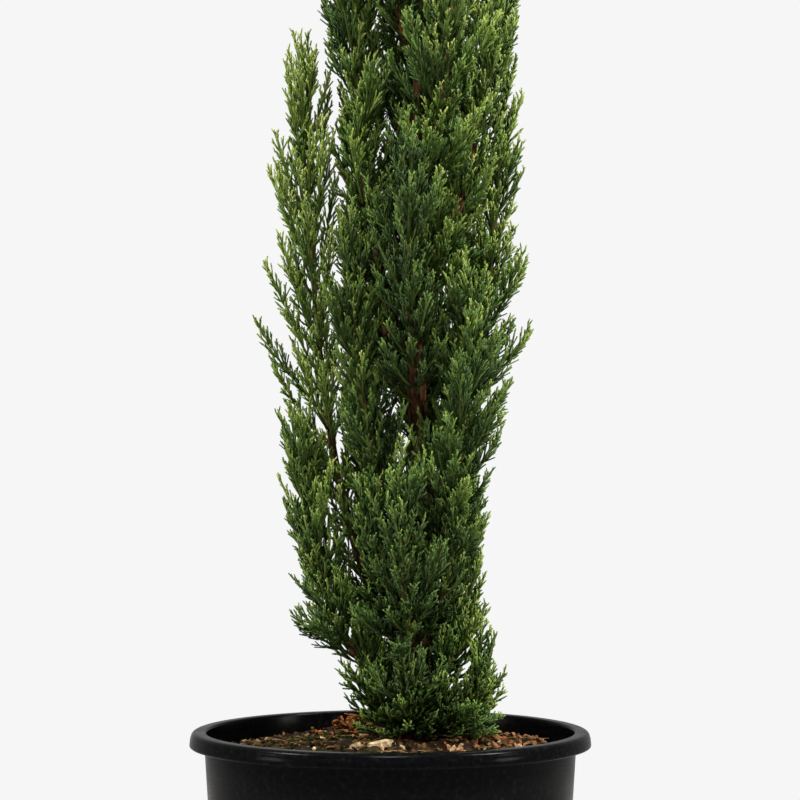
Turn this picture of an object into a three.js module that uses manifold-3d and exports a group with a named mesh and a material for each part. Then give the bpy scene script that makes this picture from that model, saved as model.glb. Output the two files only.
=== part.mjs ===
// Potted Italian cypress: a black nursery pot of bark mix, one trunk, upright boughs, and a plume of
// scale-leaved sprays on each bough.
//
// Millimetres, +Z up. The origin is the middle of the pot's underside, and -Y is the front.
// On the tree, a height is measured up from the ground, which is the top of the mix at the trunk.
// A turn is an angle seen from above, in degrees: 0 is +X, 90 is the back and -90 the front.
// A share runs from 0 to 1.

import * as THREE from 'three';
import { mergeVertices } from 'three/addons/utils/BufferGeometryUtils.js';
import Module from 'manifold-3d';

const wasm = await Module();
wasm.setup();

// Driving dimensions

const GAP = 0.3; // clearance between pieces that touch

const POT = {
  height: 280,
  rimRadius: 150,
  rimDrop: 11, // how far the lip hangs below the rim's top
  rimRound: 4,
  lipTaper: 1, // how much the lip's inside leans in towards its top
  innerChamfer: 1.5,
  wallTopRadius: 139.4, // outside, just under the rim
  footRadius: 122,
  footRound: 4,
  wall: 2.2,
  floor: 3,
  sides: 32,
  drains: 6,
  drainRadius: 8,
  drainHeight: 13,
  drainDepth: 30, // of the cut, across the wall
  drainSides: 8,
};

const MIX = {
  edgeBelowRim: 20,
  middleBelowRim: 8,
  seatRadius: 40, // the level patch that the trunk stands on
  shoulderOut: 0.45, // where the heap steepens, as shares of the way out and of the way up
  shoulderUp: 0.72,
};

const TRUNK = {
  height: 930, // to its tip, where the leader's foliage carries on
  footX: 16, // the tree stands a little to the right of the pot's middle
  leanX: 14,
  sway: 3.5, // sideways, and a share of it to the back
  swayBack: 0.6,
  swayLength: 520,
  footRadius: 9.5,
  tipRadius: 1.8,
  taper: 0.9,
  flare: 5.5,
  flareHeight: 14,
  flareRings: [0, 5, 12, 24, 45],
  firstRing: 90,
  ringEvery: 70,
  sides: 10,
};

const CROWN = {
  height: 1130,
  radius: 142,
  footShare: 0.6, // how wide the crown starts at the ground, as a share of its radius
  swell: 0.25, // the share of the height over which it swells
  spire: 1.6, // how late it tapers, and how bluntly it ends
  blunt: 0.85,
  tipRadius: 16,
  clearOfGround: 5,
};

const BOUGH = {
  bareLength: 36, // before its foliage starts
  mostBare: 0.3, // as a share of its length
  radius: 4.4,
  tipRadius: 1.1,
  taper: 0.8,
  mostOfTrunk: 0.62, // its foot is never thicker than this share of the trunk there
  leaveOut: 0.72, // first handle of its curve, as shares of its reach and rise
  leaveUp: 0.17,
  climb: 0.45, // second handle, straight below its tip
  sides: 5,
  steps: 3,
};

// Each plume is dense: a slim core of short upright teeth fills its middle, and its sprays stand out of that.
const CORE = {
  radius: 25, // at the points of its teeth
  hollow: 0.5, // radius between them, as a share
  shortest: 0.7, // a tooth's radius, as a share
  longest: 1.35,
  step: 19, // from one ring of teeth to the next
  fewestSteps: 3,
  lift: 0.9, // how far a tooth points up, as a share of that step
  trunkShare: 0.6, // of its distance from the trunk's axis, at most
  belly: 0.75, // how low it is widest, and how full it is
  fullness: 0.6,
  sides: 6,
};

const SPRAY = {
  pastShoot: 1.26, // its length, as a share of its shoot: the outer twigs stand past the shoot's tip
  width: 0.56, // as a share of its length
  thickness: 2,
  stalk: 5, // width at its root, inside the core
  every: 42.5, // along the stem
  fewest: 4, // on one plume
  spread: 250, // degrees round the stem, about the side that faces away from the trunk
  leaveLow: 54, // degrees from the stem at the foot and at the tip of a plume
  leaveHigh: 24,
  leaveJitter: 12,
  rollJitter: 80,
  turnJitter: 0.2, // as a share of the spread
  lift: 0.2, // how far it bends upwards
  first: 0.05, // where the lowest and the highest leave the stem, as shares of it
  last: 0.97,
  shortest: 0.88, // how uneven they are, as shares of their length
  longest: 1.08,
  shorterUp: 0.25, // how much shorter they get up the plume
  shorterEachTry: 0.1,
  tipLength: 51, // of the one that ends the stem, and how deep its root is sunk
  tipSunk: 4,
  clear: 2, // kept from other plumes and limbs
  tries: 8,
  tested: [0.5, 0.75, 1], // where its outline is tested, as shares of the way out from its root
  detail: 0.7, // edges finer than this, where sprays cross the core, are smoothed away
};

const GOLDEN_ANGLE = 137.5;
const OUTWARDS = 90; // degrees round a stem, from its level axis to the side away from the trunk
const UP = new THREE.Vector3(0, 0, 1);
const GROUND = POT.height - MIX.middleBelowRim;

// What each random number is used for.
const SALT = { winding: 1, turn: 2, leave: 20, roll: 30, size: 40, tip: 50, tooth: 60 };

// The boughs below the spire, the low ones first:
// name, height of the foot, turn, reach from the trunk at the tip, height of the tip, length of its shoots.
const LOWER_BOUGHS = [
  ['left_low', 28, 187, 82, 206, 61],
  ['front_low', 62, -104, 54, 178, 54],
  ['right_low', 26, -6, 38, 152, 52],
  ['back_low', 54, 58, 58, 222, 60],
  ['left_leader', 54, 176, 84, 486, 84],
  ['back_left_low', 78, 128, 60, 296, 60],
  ['right_front', 126, -42, 50, 318, 62],
  ['left_front', 146, -152, 52, 356, 60],
  ['right_leader', 168, 6, 60, 560, 70],
  ['back_right', 196, 52, 60, 470, 64],
  ['front_middle', 240, -98, 44, 420, 62],
  ['back_left', 250, 140, 60, 540, 62],
  ['left_column', 284, 190, 56, 600, 62],
  ['right_column', 322, -28, 56, 630, 64],
  ['back_column', 360, 104, 50, 640, 62],
];

// Short plumes whose stems leave the trunk itself, given in the same way.
const TRUNK_SHOOTS = [
  ['bottom_left', 6, -152, 40, 70, 44],
  ['bottom_front', 6, -98, 36, 48, 44],
  ['bottom_right', 6, -28, 54, 46, 48],
  ['bottom_back', 8, 92, 44, 80, 54],
  ['left_inner', 92, -142, 44, 170, 50],
  ['right_inner', 84, -52, 42, 172, 50],
  ['front_heart', 292, -52, 30, 480, 56],
  ['back_heart', 214, 84, 30, 430, 56],
];

// The boughs of the spire follow one rule from here up.
const UPPER = {
  count: 9,
  firstFoot: 388,
  lastFoot: 836,
  firstTurn: -64,
  reachShare: 0.52, // of the crown's reach halfway up the bough
  firstRise: 300,
  lastRise: 165,
  firstShoots: 66, // their length on the lowest of these boughs and on the highest
  lastShoots: 46,
};

const mix = (from, to, share) => from + (to - from) * share;
const radians = THREE.MathUtils.degToRad;

const fraction = (value) => value - Math.floor(value);

// A fixed random number from 0 to 1 for a plume's number, a count along it and a use.
function chance(plume, count, salt) {
  return fraction(Math.sin(plume * 12.9898 + count * 78.233 + salt * 37.719) * 43758.5453);
}

// Solids

// A closed geometry as a solid that can be joined and cut.
function solidOf(geometry) {
  const bare = geometry.clone();
  bare.deleteAttribute('normal');
  bare.deleteAttribute('uv');
  const merged = mergeVertices(bare, 1e-4);
  return new wasm.Manifold(
    new wasm.Mesh({
      numProp: 3,
      vertProperties: new Float32Array(merged.attributes.position.array),
      triVerts: new Uint32Array(merged.index.array),
    }),
  );
}

// The largest body of a solid as a geometry: loose scraps and sealed hollows are left behind.
function geometryOf(solid) {
  const whole = solid.decompose().reduce((best, body) => (body.volume() > best.volume() ? body : best));
  const mesh = whole.getMesh();
  const geometry = new THREE.BufferGeometry();
  geometry.setAttribute('position', new THREE.BufferAttribute(mesh.vertProperties, mesh.numProp));
  geometry.setIndex(new THREE.BufferAttribute(mesh.triVerts, 1));
  geometry.computeVertexNormals();
  return geometry;
}

const joined = (solids) => solids.reduce((sum, solid) => sum.add(solid));

// A profile of (radius, height) points turned about +Z.
function turned(profile, sides) {
  return new THREE.LatheGeometry(profile, sides).rotateX(Math.PI / 2);
}

// A tube along a stretch of a curve, with flat ends. across is level and square to the curve's plane.
// place(at, ring, side, axes, out) gives each point, from its share of the curve and its way out of it.
function tube(curve, across, from, to, sides, steps, place) {
  const geometry = new THREE.CylinderGeometry(1, 1, 1, sides, steps);
  const position = geometry.attributes.position;
  const local = new THREE.Vector3();
  for (let i = 0; i < position.count; i++) {
    local.fromBufferAttribute(position, i);
    const at = mix(from, to, local.y + 0.5);
    const axes = frameAt(curve, across, at);
    const out = axes.normal.clone().multiplyScalar(local.x).addScaledVector(axes.binormal, local.z);
    const ring = Math.round((local.y + 0.5) * steps);
    const side = Math.round((Math.atan2(local.x, local.z) * sides) / (2 * Math.PI) + sides) % sides;
    const point = out.lengthSq() > 0.5 ? place(at, ring, side, axes, out) : axes.point;
    position.setXYZ(i, point.x, point.y, point.z);
  }
  return geometry;
}

// A plain tapering limb.
function limb(curve, across, from, to, radiusAt, sides, steps) {
  return tube(curve, across, from, to, sides, steps, (at, ring, side, axes, out) =>
    axes.point.addScaledVector(out, radiusAt(at)),
  );
}

// The point of a curve at a share of its length, with axes that don't twist along it.
function frameAt(curve, across, at) {
  const point = curve.getPointAt(THREE.MathUtils.clamp(at, 0, 1));
  const tangent = curve.getTangentAt(THREE.MathUtils.clamp(at, 0, 1));
  const normal = across.clone().addScaledVector(tangent, -across.dot(tangent)).normalize();
  const binormal = normal.clone().cross(tangent);
  return { point, tangent, normal, binormal };
}

// Pot and mix

const wallRadiusAt = (z) => mix(POT.footRadius, POT.wallTopRadius, z / (POT.height - POT.wall));
const wallInsideAt = (z) => wallRadiusAt(z) - POT.wall;

// The pot's section: foot, wall, rim with its hanging lip, and back down the inside.
function potProfile() {
  const { height, wall, rimRadius, rimDrop, rimRound, lipTaper, innerChamfer, footRound, floor } = POT;
  const path = new THREE.Path();
  path.moveTo(0, 0);
  path.lineTo(wallRadiusAt(0) - footRound, 0);
  path.quadraticCurveTo(wallRadiusAt(0), 0, wallRadiusAt(footRound), footRound);
  path.lineTo(wallRadiusAt(height - wall), height - wall);
  path.lineTo(rimRadius - wall - lipTaper, height - wall);
  path.lineTo(rimRadius - wall, height - rimDrop);
  path.lineTo(rimRadius, height - rimDrop);
  path.lineTo(rimRadius - lipTaper / 2, height - rimRound);
  path.quadraticCurveTo(rimRadius - lipTaper, height, rimRadius - rimRound, height);
  path.lineTo(wallInsideAt(height) + innerChamfer, height);
  path.lineTo(wallInsideAt(height - innerChamfer), height - innerChamfer);
  path.lineTo(wallInsideAt(floor), floor);
  path.lineTo(0, floor);
  return path.getPoints(2);
}

// The holes that let water out run through the wall, evenly round its foot.
function drainHoles() {
  const { drains, drainRadius, drainHeight, drainDepth, drainSides } = POT;
  return Array.from({ length: drains }, (_, i) => {
    const hole = new THREE.CylinderGeometry(drainRadius, drainRadius, drainDepth, drainSides);
    hole.rotateZ(Math.PI / 2).translate(wallRadiusAt(drainHeight), 0, drainHeight);
    return solidOf(hole.rotateZ(radians((360 * (i + 0.5)) / drains)));
  });
}

function potGeometry() {
  return geometryOf(solidOf(turned(potProfile(), POT.sides)).subtract(joined(drainHoles())));
}

// The mix fills the pot to below its rim and is heaped a little towards the trunk.
function mixGeometry() {
  const bottom = POT.floor + GAP;
  const edge = POT.height - MIX.edgeBelowRim;
  const shoulder = mix(MIX.seatRadius, wallInsideAt(edge), MIX.shoulderOut);
  const profile = [
    [0, bottom],
    [wallInsideAt(bottom) - GAP, bottom],
    [wallInsideAt(edge) - GAP, edge],
    [shoulder, mix(edge, GROUND, MIX.shoulderUp)],
    [MIX.seatRadius, GROUND],
    [0, GROUND],
  ];
  return turned(profile.map(([radius, z]) => new THREE.Vector2(radius, z)), POT.sides);
}

// Trunk

function trunkAxis(up) {
  const lean = (TRUNK.leanX * up) / TRUNK.height;
  const sway = Math.sin((2 * Math.PI * up) / TRUNK.swayLength) * TRUNK.sway;
  return new THREE.Vector3(TRUNK.footX + lean + sway, sway * TRUNK.swayBack, GROUND + up);
}

// How far a place lies from the trunk's axis, on the level.
function fromTrunk({ x, y, z }) {
  const axis = trunkAxis(z - GROUND);
  return Math.hypot(x - axis.x, y - axis.y);
}

function trunkRadius(up) {
  const share = THREE.MathUtils.clamp(up / TRUNK.height, 0, 1);
  const taper = mix(TRUNK.footRadius, TRUNK.tipRadius, share ** TRUNK.taper);
  return taper + TRUNK.flare * Math.exp(-up / TRUNK.flareHeight);
}

// A flat cut on the mix, the root flare, and a taper up to the tip, swayed to the trunk's axis.
// grow makes it larger all round, to cut other pieces clear of it.
function trunkGeometry(grow = 0) {
  const heights = [...TRUNK.flareRings];
  for (let up = TRUNK.firstRing; up < TRUNK.height; up += TRUNK.ringEvery) heights.push(up);
  const top = TRUNK.height + grow;
  const profile = [...heights, top].map((up) => new THREE.Vector2(trunkRadius(up) + grow, up));
  const geometry = turned([new THREE.Vector2(0, 0), ...profile, new THREE.Vector2(0, top)], TRUNK.sides);
  const position = geometry.attributes.position;
  for (let i = 0; i < position.count; i++) {
    const axis = trunkAxis(position.getZ(i));
    position.setXYZ(i, position.getX(i) + axis.x, position.getY(i) + axis.y, axis.z + GAP);
  }
  return geometry;
}

// Boughs

// One bough and the plume on it: a curve that leaves the trunk, swings out and climbs beside it.
function boughOf([name, foot, turn, reach, top, shootLength]) {
  const out = new THREE.Vector3(Math.cos(radians(turn)), Math.sin(radians(turn)), 0);
  const rise = top - foot;
  const start = trunkAxis(foot);
  const end = trunkAxis(top).addScaledVector(out, reach);
  const leave = start.clone().addScaledVector(out, BOUGH.leaveOut * reach);
  leave.addScaledVector(UP, BOUGH.leaveUp * rise);
  const climb = end.clone().addScaledVector(UP, -BOUGH.climb * rise);
  const curve = new THREE.CubicBezierCurve3(start, leave, climb, end);
  const footRadius = Math.min(BOUGH.radius, BOUGH.mostOfTrunk * trunkRadius(foot));
  return {
    name,
    curve,
    across: new THREE.Vector3(-out.y, out.x, 0),
    bare: Math.min(BOUGH.mostBare, BOUGH.bareLength / curve.getLength()),
    spread: SPRAY.spread,
    sprayLength: SPRAY.pastShoot * shootLength,
    radiusAt: (at) => mix(footRadius, BOUGH.tipRadius, at ** BOUGH.taper),
  };
}

// The spire's boughs wind up the trunk by the golden angle and shorten towards the tip.
function upperBoughs() {
  const rows = [];
  for (let i = 0; i < UPPER.count; i++) {
    const share = i / (UPPER.count - 1);
    const foot = mix(UPPER.firstFoot, UPPER.lastFoot, share);
    const turn = UPPER.firstTurn + i * GOLDEN_ANGLE;
    const top = foot + mix(UPPER.firstRise, UPPER.lastRise, share);
    const reach = UPPER.reachShare * crownReach((foot + top) / 2);
    const shootLength = mix(UPPER.firstShoots, UPPER.lastShoots, share);
    rows.push([`spire_${i + 1}`, foot, turn, reach, top, shootLength]);
  }
  return rows;
}

// The leader is the trunk's own tip, which carries on as foliage.
function leader() {
  const start = trunkAxis(TRUNK.height);
  start.z += 2 * GAP;
  const end = trunkAxis(CROWN.height - GAP + SPRAY.tipSunk - SPRAY.tipLength);
  return {
    name: 'leader',
    curve: new THREE.LineCurve3(start, end),
    across: new THREE.Vector3(0, 1, 0),
    bare: 0,
    spread: 360,
    sprayLength: SPRAY.pastShoot * UPPER.lastShoots,
    radiusAt: (at) => mix(TRUNK.tipRadius, BOUGH.tipRadius, at),
  };
}

// A shoot is a plume with no bough: its stem starts inside the trunk, which is then cut out of it.
const shootOff = (row) => ({ ...boughOf(row), bare: 0 });

const boughs = [...LOWER_BOUGHS, ...upperBoughs()].map(boughOf);
const shoots = TRUNK_SHOOTS.map(shootOff);
const plumes = [...boughs, ...shoots, leader()];
const trunkClearance = solidOf(trunkGeometry(GAP));

function boughGeometry({ curve, across, bare, radiusAt }) {
  const whole = limb(curve, across, 0, bare, radiusAt, BOUGH.sides, BOUGH.steps);
  return geometryOf(solidOf(whole).subtract(trunkClearance));
}

// Foliage

// Points along each bough and each plume's stem, for measuring how near something is to them.
const TRACE_STEPS = 14;
const trace = (curve, from, to) =>
  Array.from({ length: TRACE_STEPS + 1 }, (_, i) => curve.getPointAt(mix(from, to, i / TRACE_STEPS)));
for (const plume of plumes) {
  plume.stemTrace = trace(plume.curve, plume.bare, 1);
  plume.limbTrace = plume.bare > 0 ? trace(plume.curve, 0, plume.bare) : [];
}

function distanceTo(points, place) {
  const nearest = new THREE.Vector3();
  const segment = new THREE.Line3();
  let least = Infinity;
  for (let i = 1; i < points.length; i++) {
    segment.set(points[i - 1], points[i]).closestPointToPoint(place, true, nearest);
    least = Math.min(least, nearest.distanceTo(place));
  }
  return least;
}

// How far the crown reaches from the trunk at a height: it swells above the pot and tapers to a spire.
function crownReach(up) {
  const share = THREE.MathUtils.clamp(up / CROWN.height, 0, 1);
  const swell = mix(CROWN.footShare, 1, THREE.MathUtils.smoothstep(share, 0, CROWN.swell));
  return CROWN.radius * swell * (1 - share ** CROWN.spire) ** CROWN.blunt;
}

// A place is a plume's own if its stem is the nearest, and it is in the crown and clear of every limb.
function ownPlace(plume, place) {
  const up = place.z - GROUND;
  if (up < CROWN.clearOfGround || up > CROWN.height) return false;
  const out = fromTrunk(place);
  if (out > Math.max(crownReach(up), CROWN.tipRadius)) return false;
  if (up < TRUNK.height + SPRAY.clear && out < trunkRadius(up) + SPRAY.clear) return false;
  const own = distanceTo(plume.stemTrace, place) + SPRAY.clear;
  return plumes.every(
    (other) =>
      (other === plume || distanceTo(other.stemTrace, place) > own) &&
      distanceTo(other.limbTrace, place) > BOUGH.radius + SPRAY.clear,
  );
}

// The outline of one spray along +Y, three-toothed: each tooth stands for a branchlet.
function sprayOutline(length, width) {
  return [
    [-SPRAY.stalk / 2, 0],
    [-width * 0.5, length * 0.76],
    [-width * 0.14, length * 0.66],
    [0, length],
    [width * 0.14, length * 0.58],
    [width * 0.5, length * 0.6],
    [SPRAY.stalk / 2, 0],
  ].map(([x, y]) => new THREE.Vector2(x, y));
}

// Where shoot number k leaves a plume's stem: its root, its direction and the way its fan spreads.
// The shoots wind round the outer side of the stem by the golden angle.
function shootOf(plume, index, k, count, attempt) {
  const share = (k + 0.5) / count;
  const at = mix(plume.bare, 1, mix(SPRAY.first, SPRAY.last, share));
  const jitter = (salt) => chance(index, k, salt) - 0.5;
  const { point, tangent, normal, binormal } = frameAt(plume.curve, plume.across, at);
  const winding = fraction((k * GOLDEN_ANGLE) / 360 + chance(index, 0, SALT.winding)) - 0.5;
  const around = winding + SPRAY.turnJitter * jitter(SALT.turn + attempt);
  const turn = radians(OUTWARDS + plume.spread * around);
  const leaveWish = mix(SPRAY.leaveLow, SPRAY.leaveHigh, share);
  const leave = radians(leaveWish + SPRAY.leaveJitter * jitter(SALT.leave));
  const side = normal.multiplyScalar(Math.cos(turn)).addScaledVector(binormal, Math.sin(turn));
  const direction = tangent.clone().multiplyScalar(Math.cos(leave)).addScaledVector(side, Math.sin(leave));
  direction.addScaledVector(UP, SPRAY.lift).normalize();
  const roll = radians(SPRAY.rollJitter * jitter(SALT.roll + attempt));
  const spread = tangent.clone().cross(side).cross(direction).normalize().applyAxisAngle(direction, roll);
  const uneven = mix(SPRAY.shortest, SPRAY.longest, chance(index, k, SALT.size));
  const size = uneven * (1 - SPRAY.shorterUp * share) * (1 - SPRAY.shorterEachTry * attempt);
  return { root: point, direction, spread, length: plume.sprayLength * size };
}

// One spray as a flat toothed blade, or null if any of it would leave the plume's own space.
function sprayBlade(plume, { root, direction, spread, length }) {
  const outline = sprayOutline(length, SPRAY.width * length);
  const face = spread.clone().cross(direction);
  const placed = new THREE.Matrix4().makeBasis(spread, direction, face).setPosition(root);
  const inSpace = outline.slice(1, -1).every(({ x, y }) =>
    SPRAY.tested.every((share) =>
      ownPlace(plume, new THREE.Vector3(x * share, y * share, 0).applyMatrix4(placed)),
    ),
  );
  if (!inSpace) return null;
  const blade = new THREE.ExtrudeGeometry(new THREE.Shape(outline), {
    depth: SPRAY.thickness,
    bevelEnabled: false,
  });
  return solidOf(blade.translate(0, 0, -SPRAY.thickness / 2).applyMatrix4(placed));
}

// The blade that ends a stem, along its own line.
function tipShoot(plume, index, attempt) {
  const { point, tangent, normal } = frameAt(plume.curve, plume.across, 1);
  point.addScaledVector(tangent, -SPRAY.tipSunk);
  const spread = normal.applyAxisAngle(tangent, Math.PI * chance(index, attempt, SALT.tip));
  const length = SPRAY.tipLength * (1 - SPRAY.shorterEachTry * attempt);
  return { root: point, direction: tangent, spread, length };
}

// A point of the core: slim at both ends, and none outside the plume's own space. tooth is the length of a
// tooth there, or 0 in the hollow between two.
function corePoint(plume, at, tooth, axes, out) {
  const tall = tooth > 0;
  const share = (at - plume.bare) / (1 - plume.bare);
  const stem = plume.radiusAt(at);
  const besideTrunk = axes.point.z < GROUND + TRUNK.height;
  const room = besideTrunk ? CORE.trunkShare * fromTrunk(axes.point) : CORE.radius;
  const swell = Math.sin(Math.PI * share ** CORE.belly) ** CORE.fullness;
  const wish = Math.min(CORE.radius, room) * swell * (tall ? tooth : CORE.hollow);
  const lift = tall ? (CORE.lift * CORE.step * swell) / Math.max(wish, 1) : 0;
  const placed = (radius) =>
    axes.point.clone().addScaledVector(out, radius).addScaledVector(axes.tangent, lift * radius);
  let radius = Math.max(wish, stem);
  while (radius > stem && !ownPlace(plume, placed(radius))) radius -= 1;
  return placed(Math.max(stem, radius));
}

function coreGeometry(plume, index) {
  const length = plume.curve.getLength();
  const from = plume.bare + GAP / length;
  const steps = Math.max(CORE.fewestSteps, Math.round(((1 - from) * length) / CORE.step));
  const place = (at, ring, side, axes, out) => {
    if (ring === 0 || ring === steps) return axes.point.addScaledVector(out, plume.radiusAt(at));
    const uneven = chance(index, ring * CORE.sides + side, SALT.tooth);
    const tooth = (ring + side) % 2 === 0 ? mix(CORE.shortest, CORE.longest, uneven) : 0;
    return corePoint(plume, at, tooth, axes, out);
  };
  return tube(plume.curve, plume.across, from, 1, CORE.sides, steps, place);
}

// One plume: a stem with its core, and sprays wound round it by the golden angle, fused into one solid.
function plumeGeometry(plume, index) {
  const solids = [solidOf(coreGeometry(plume, index))];
  const length = plume.curve.getLength();
  const count = Math.max(SPRAY.fewest, Math.round((length * (1 - plume.bare)) / SPRAY.every));
  for (let k = 0; k <= count; k++) {
    let blade = null;
    for (let attempt = 0; attempt < SPRAY.tries && !blade; attempt++) {
      const shoot =
        k < count ? shootOf(plume, index, k, count, attempt) : tipShoot(plume, index, attempt);
      blade = sprayBlade(plume, shoot);
    }
    if (blade) solids.push(blade);
  }
  const whole = joined(solids).simplify(SPRAY.detail);
  return geometryOf(shoots.includes(plume) ? whole.subtract(trunkClearance) : whole);
}

// Materials and assembly

const plastic = new THREE.MeshStandardMaterial({ color: 0x17181a, roughness: 0.5, metalness: 0 });
const bark = new THREE.MeshStandardMaterial({ color: 0x5a3a28, roughness: 0.9, metalness: 0 });
const barkMix = new THREE.MeshStandardMaterial({ color: 0x3d2a1a, roughness: 1, metalness: 0 });
const foliage = new THREE.MeshStandardMaterial({ color: 0x36591f, roughness: 0.6, metalness: 0 });

function named(name, geometry, material) {
  const mesh = new THREE.Mesh(geometry, material);
  mesh.name = name;
  return mesh;
}

const plant = new THREE.Group();
plant.add(named('pot', potGeometry(), plastic));
plant.add(named('potting_mix', mixGeometry(), barkMix));
plant.add(named('trunk', trunkGeometry(), bark));
boughs.forEach((bough) => plant.add(named(`bough_${bough.name}`, boughGeometry(bough), bark)));
plumes.forEach((plume, index) =>
  plant.add(named(`foliage_${plume.name}`, plumeGeometry(plume, index), foliage)),
);

export default plant;
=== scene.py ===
"""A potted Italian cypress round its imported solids: foliage grown twig by twig, bark, pot and potting mix.

Sizes are in millimetres and angles in degrees until a mesh is made. Lights and camera are placed in metres.
"""

import math

import bpy
import numpy as np
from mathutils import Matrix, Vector


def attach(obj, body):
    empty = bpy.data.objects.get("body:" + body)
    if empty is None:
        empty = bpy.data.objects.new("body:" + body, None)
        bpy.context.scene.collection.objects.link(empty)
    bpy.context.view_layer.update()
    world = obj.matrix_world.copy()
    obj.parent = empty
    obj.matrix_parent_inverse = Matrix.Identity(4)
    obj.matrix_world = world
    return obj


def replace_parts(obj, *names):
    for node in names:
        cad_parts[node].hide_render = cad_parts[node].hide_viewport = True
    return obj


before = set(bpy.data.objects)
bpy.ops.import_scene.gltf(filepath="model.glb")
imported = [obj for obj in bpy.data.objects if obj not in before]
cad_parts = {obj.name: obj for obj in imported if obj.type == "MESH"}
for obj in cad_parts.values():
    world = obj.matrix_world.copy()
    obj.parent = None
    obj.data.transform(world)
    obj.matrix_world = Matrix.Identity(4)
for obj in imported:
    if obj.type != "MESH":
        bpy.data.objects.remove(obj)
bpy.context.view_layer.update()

MM = 0.001
UP = np.array((0.0, 0.0, 1.0))
TURN = 2 * math.pi
SEED = 20
MOST_TRIANGLES = 190_000  # in one joined piece

# The pot, a turned shape.
POT_HEIGHT = 280
POT_SIDES = 160
POT_SHARP_EDGE = 40
RIM_RADIUS = 150
RIM_DROP = 11
RIM_ROUND = 4
RIM_STEPS = 8
RIM_INSIDE_ROUND = 2
RIM_INSIDE_STEPS = 6
LIP_TAPER = 1
LIP_CLEAR = 1  # from its straight stretch to its rounds
LIP_STEPS = 7
WALL_TOP_RADIUS = 139.4
WALL = 2.2
WALL_START = 12
WALL_END = 2  # below the underside of the rim
WALL_RINGS = 14
INSIDE_START = 8  # below the top
INSIDE_RINGS = 12
FOOT_RADIUS = 122
FOOT_ROUND = 4
FOOT_STEPS = 7
FLOOR = 3
DRAINS = 6
DRAIN_RADIUS = 8
DRAIN_HEIGHT = 13
DRAIN_DEPTH = 30
DRAIN_SIDES = 32

# The mix in it, heaped towards the trunk.
GROUND = 272
MIX_EDGE = 260
MIX_SEAT = 40
MIX_FALL = 1.5
MIX_STEP = 2.4
MIX_CLEAR = 0.3
LUMP_WAVES = 60
LUMP_LENGTHS = (7, 34)
LUMP_PILE = 4  # what the waves add up to
LUMP_HEIGHT = 2.2
LUMP_FADE = 6  # from the wall
# Heaps in its top: place, width and rise.
MIX_HEAPS = (
    (-26, 22, 15, 10),
    (92, 6, 20, 5),
    (-84, -12, 24, 3),
    (38, 78, 26, 4),
)

# Loose chips on the mix: count, spans of half length, half width and half thickness, how high they may lie,
# the dim and the bright colour of the grain, and where if not all over: middle of the patch and its spread.
ALL_OVER = None
CHIPS = {
    "chips_dark": {
        "count": 1000,
        "halves": ((2, 6), (1.0, 3.0), (0.6, 1.6)),
        "lift": 2.4,
        "colours": ((0.006, 0.004, 0.002), (0.026, 0.016, 0.007)),
    },
    "chips_brown": {
        "count": 420,
        "halves": ((2, 7), (1.0, 3.0), (0.6, 1.6)),
        "lift": 2.8,
        "colours": ((0.034, 0.017, 0.007), (0.150, 0.072, 0.026)),
    },
    "chips_red": {
        "count": 110,
        "halves": ((2, 7), (1.2, 3.6), (0.8, 2.2)),
        "lift": 5.5,
        "colours": ((0.090, 0.036, 0.013), (0.430, 0.210, 0.095)),
        "where": (84, -6, 30),
    },
    "chips_tan": {
        "count": 150,
        "halves": ((1.5, 5.5), (0.8, 2.4), (0.5, 1.5)),
        "lift": 3.4,
        "colours": ((0.230, 0.155, 0.075), (0.640, 0.490, 0.300)),
    },
    "chips_moss": {
        "count": 320,
        "halves": ((1.2, 4), (0.5, 1.4), (0.5, 1.2)),
        "lift": 3.2,
        "colours": ((0.013, 0.018, 0.004), (0.055, 0.062, 0.012)),
        "where": (-58, -12, 34),
    },
    "flakes_orange": {
        "count": 150,
        "halves": ((1.5, 6.5), (0.4, 1.3), (0.3, 0.8)),
        "lift": 8.0,
        "colours": ((0.150, 0.050, 0.013), (0.480, 0.190, 0.052)),
        "where": (-27, 22, 15),
    },
}
CHIP_CORNERS = 6
CHIP_CORNER_JITTER = 0.3  # radians
CHIP_OUTLINES = (0.65, 1.1)
CHIP_RISES = (0.6, 1.3)
CHIP_TOPS = (0.75, 1.0)
CHIP_SUNK = 0.5
CHIP_TILT = 24
CHIP_CLEAR_OF_WALL = 4
PATCH_CLEAR_OF_WALL = 6
# One large pale chip among the tan ones: place, half sizes and heading.
PALE_CHIP = ((-8, -44, 275), (13, 5, 1.8), 8)
PALE_CHIP_TILT = 4

# Fine roots and strings of bark on the mix.
FIBRES = 520
FIBRE_LENGTHS = (5, 18)
FIBRE_LIFTS = (1.0, 3.0)
FIBRE_SLOPES = (-0.15, 0.3)
FIBRE_BEND = -0.1
FIBRE_SHORTEST = 0.15
FIBRE_CLEAR_OF_WALL = 2
FIBRE_RINGS = ((0.0, 0.35), (0.5, 0.4), (1.0, 0.25))
FIBRE_COLOURS = ((0.090, 0.055, 0.022), (0.300, 0.190, 0.085))

# The trunk, from the mix to its tip.
TRUNK_HEIGHT = 930
TRUNK_FOOT_X = 16
TRUNK_LEAN = 14
TRUNK_SWAY = 3.5
TRUNK_SWAY_BACK = 0.6
TRUNK_SWAY_LENGTH = 520
TRUNK_FOOT_RADIUS = 9.5
TRUNK_TIP_RADIUS = 1.8
TRUNK_TAPER = 0.9
TRUNK_FLARE = 5.5
TRUNK_FLARE_HEIGHT = 14
TRUNK_SUNK = 3
TRUNK_RINGS_EVERY = 4
TRUNK_SIDES = 32

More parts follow.
